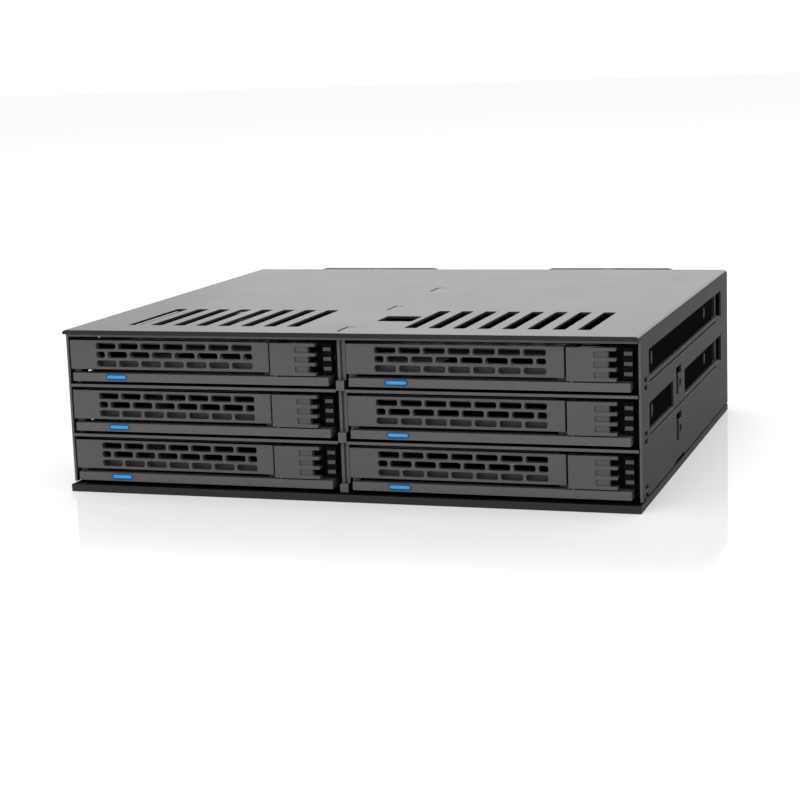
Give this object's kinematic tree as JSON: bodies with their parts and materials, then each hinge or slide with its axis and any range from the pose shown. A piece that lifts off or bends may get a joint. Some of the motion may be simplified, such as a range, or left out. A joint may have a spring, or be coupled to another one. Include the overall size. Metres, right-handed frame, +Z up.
{
  "type": "hot swap drive cage",
  "caption": "Steel drive cage for one 5.25 inch bay, with slide-out 2.5 inch drive trays, levers, latches, status lights, a backplane and rear fans.",
  "frame": {"origin": "middle of the underside, in X and Y at the middle of the whole box", "axes": "+X to the right seen from the front, +Y to the back, +Z up"},
  "size_m": [0.146, 0.1432, 0.0413],
  "materials": {
    "case_steel": "fine satin black paint",
    "tray_steel": "black coated sheet",
    "bezel_plastic": "fine grained dark grey plastic",
    "lever_plastic": "fine grained dark grey plastic",
    "latch_plastic": "fine grained dark grey plastic",
    "pin_steel": "bright steel",
    "blue_light": "clear blue light guide",
    "circuit_board": "green solder mask",
    "port_plastic": "black moulded plastic",
    "brass_post": "turned brass",
    "screw_steel": "blackened steel",
    "fan_plastic": "black moulded plastic",
    "knob_plastic": "pale plastic"
  },
  "bodies": {
    "cage": {"cover": "case_steel", "side_wall_left": "case_steel", "side_wall_right": "case_steel", "side_rails": "case_steel", "base_tray": "case_steel", "centre_divider": "case_steel", "rear_panel": "case_steel", "backplane_board": "circuit_board", "drive_sockets": "port_plastic", "data_ports": "port_plastic", "power_sockets": "port_plastic", "board_standoffs": "brass_post", "board_screws": "screw_steel", "fan_frame_left": "fan_plastic", "fan_frame_right": "fan_plastic", "fan_screws": "screw_steel", "speed_switch_body": "port_plastic", "shelf_middle_left": "case_steel", "shelf_upper_left": "case_steel", "shelf_middle_right": "case_steel", "shelf_upper_right": "case_steel"},
    "fan_left": {"fan_rotor_left": "fan_plastic"},
    "fan_right": {"fan_rotor_right": "fan_plastic"},
    "speed_knob": {"speed_switch_knob": "knob_plastic"},
    "bay_lower_left": {"tray_lower_left": "tray_steel", "bezel_lower_left": "bezel_plastic", "lever_pin_lower_left": "pin_steel", "light_pipe_lower_left": "blue_light"},
    "lever_lower_left": {"lever_lower_left": "lever_plastic"},
    "latch_lower_left": {"latch_lower_left": "latch_plastic"},
    "bay_middle_left": {"tray_middle_left": "tray_steel", "bezel_middle_left": "bezel_plastic", "lever_pin_middle_left": "pin_steel", "light_pipe_middle_left": "blue_light"},
    "lever_middle_left": {"lever_middle_left": "lever_plastic"},
    "latch_middle_left": {"latch_middle_left": "latch_plastic"},
    "bay_upper_left": {"tray_upper_left": "tray_steel", "bezel_upper_left": "bezel_plastic", "lever_pin_upper_left": "pin_steel", "light_pipe_upper_left": "blue_light"},
    "lever_upper_left": {"lever_upper_left": "lever_plastic"},
    "latch_upper_left": {"latch_upper_left": "latch_plastic"},
    "bay_lower_right": {"tray_lower_right": "tray_steel", "bezel_lower_right": "bezel_plastic", "lever_pin_lower_right": "pin_steel", "light_pipe_lower_right": "blue_light"},
    "lever_lower_right": {"lever_lower_right": "lever_plastic"},
    "latch_lower_right": {"latch_lower_right": "latch_plastic"},
    "bay_middle_right": {"tray_middle_right": "tray_steel", "bezel_middle_right": "bezel_plastic", "lever_pin_middle_right": "pin_steel", "light_pipe_middle_right": "blue_light"},
    "lever_middle_right": {"lever_middle_right": "lever_plastic"},
    "latch_middle_right": {"latch_middle_right": "latch_plastic"},
    "bay_upper_right": {"tray_upper_right": "tray_steel", "bezel_upper_right": "bezel_plastic", "lever_pin_upper_right": "pin_steel", "light_pipe_upper_right": "blue_light"},
    "lever_upper_right": {"lever_upper_right": "lever_plastic"},
    "latch_upper_right": {"latch_upper_right": "latch_plastic"}
  },
  "joints": [
    {"name": "tray_slide_lower_left", "type": "slide", "parent": "cage", "child": "bay_lower_left", "axis": [0, -1, 0], "range_m": [0, 0.1]},
    {"name": "lever_hinge_lower_left", "type": "hinge", "parent": "bay_lower_left", "child": "lever_lower_left", "pos_m": [-0.0167, -0.0695, 0.0091], "axis": [0, 0, -1], "range_deg": [0, 75]},
    {"name": "latch_slide_lower_left", "type": "slide", "parent": "bay_lower_left", "child": "latch_lower_left", "axis": [1, 0, 0], "range_m": [0, 0.001], "stiffness_N_per_m": 100},
    {"name": "tray_slide_middle_left", "type": "slide", "parent": "cage", "child": "bay_middle_left", "axis": [0, -1, 0], "range_m": [0, 0.1]},
    {"name": "lever_hinge_middle_left", "type": "hinge", "parent": "bay_middle_left", "child": "lever_middle_left", "pos_m": [-0.0167, -0.0695, 0.0218], "axis": [0, 0, -1], "range_deg": [0, 75]},
    {"name": "latch_slide_middle_left", "type": "slide", "parent": "bay_middle_left", "child": "latch_middle_left", "axis": [1, 0, 0], "range_m": [0, 0.001], "stiffness_N_per_m": 100},
    {"name": "tray_slide_upper_left", "type": "slide", "parent": "cage", "child": "bay_upper_left", "axis": [0, -1, 0], "range_m": [0, 0.1]},
    {"name": "lever_hinge_upper_left", "type": "hinge", "parent": "bay_upper_left", "child": "lever_upper_left", "pos_m": [-0.0167, -0.0695, 0.0345], "axis": [0, 0, -1], "range_deg": [0, 75]},
    {"name": "latch_slide_upper_left", "type": "slide", "parent": "bay_upper_left", "child": "latch_upper_left", "axis": [1, 0, 0], "range_m": [0, 0.001], "stiffness_N_per_m": 100},
    {"name": "tray_slide_lower_right", "type": "slide", "parent": "cage", "child": "bay_lower_right", "axis": [0, -1, 0], "range_m": [0, 0.1]},
    {"name": "lever_hinge_lower_right", "type": "hinge", "parent": "bay_lower_right", "child": "lever_lower_right", "pos_m": [0.0567, -0.0695, 0.0091], "axis": [0, 0, -1], "range_deg": [0, 75]},
    {"name": "latch_slide_lower_right", "type": "slide", "parent": "bay_lower_right", "child": "latch_lower_right", "axis": [1, 0, 0], "range_m": [0, 0.001], "stiffness_N_per_m": 100},
    {"name": "tray_slide_middle_right", "type": "slide", "parent": "cage", "child": "bay_middle_right", "axis": [0, -1, 0], "range_m": [0, 0.1]},
    {"name": "lever_hinge_middle_right", "type": "hinge", "parent": "bay_middle_right", "child": "lever_middle_right", "pos_m": [0.0567, -0.0695, 0.0218], "axis": [0, 0, -1], "range_deg": [0, 75]},
    {"name": "latch_slide_middle_right", "type": "slide", "parent": "bay_middle_right", "child": "latch_middle_right", "axis": [1, 0, 0], "range_m": [0, 0.001], "stiffness_N_per_m": 100},
    {"name": "tray_slide_upper_right", "type": "slide", "parent": "cage", "child": "bay_upper_right", "axis": [0, -1, 0], "range_m": [0, 0.1]},
    {"name": "lever_hinge_upper_right", "type": "hinge", "parent": "bay_upper_right", "child": "lever_upper_right", "pos_m": [0.0567, -0.0695, 0.0345], "axis": [0, 0, -1], "range_deg": [0, 75]},
    {"name": "latch_slide_upper_right", "type": "slide", "parent": "bay_upper_right", "child": "latch_upper_right", "axis": [1, 0, 0], "range_m": [0, 0.001], "stiffness_N_per_m": 100},
    {"name": "fan_spin_left", "type": "hinge", "parent": "cage", "child": "fan_left", "pos_m": [-0.0365, 0.0654, 0.02065], "axis": [0, 1, 0], "continuous": true},
    {"name": "fan_spin_right", "type": "hinge", "parent": "cage", "child": "fan_right", "pos_m": [0.0365, 0.0654, 0.02065], "axis": [0, 1, 0], "continuous": true},
    {"name": "speed_knob_slide", "type": "slide", "parent": "cage", "child": "speed_knob", "axis": [1, 0, 0], "range_m": [-0.0016, 0.0016]}
  ]
}
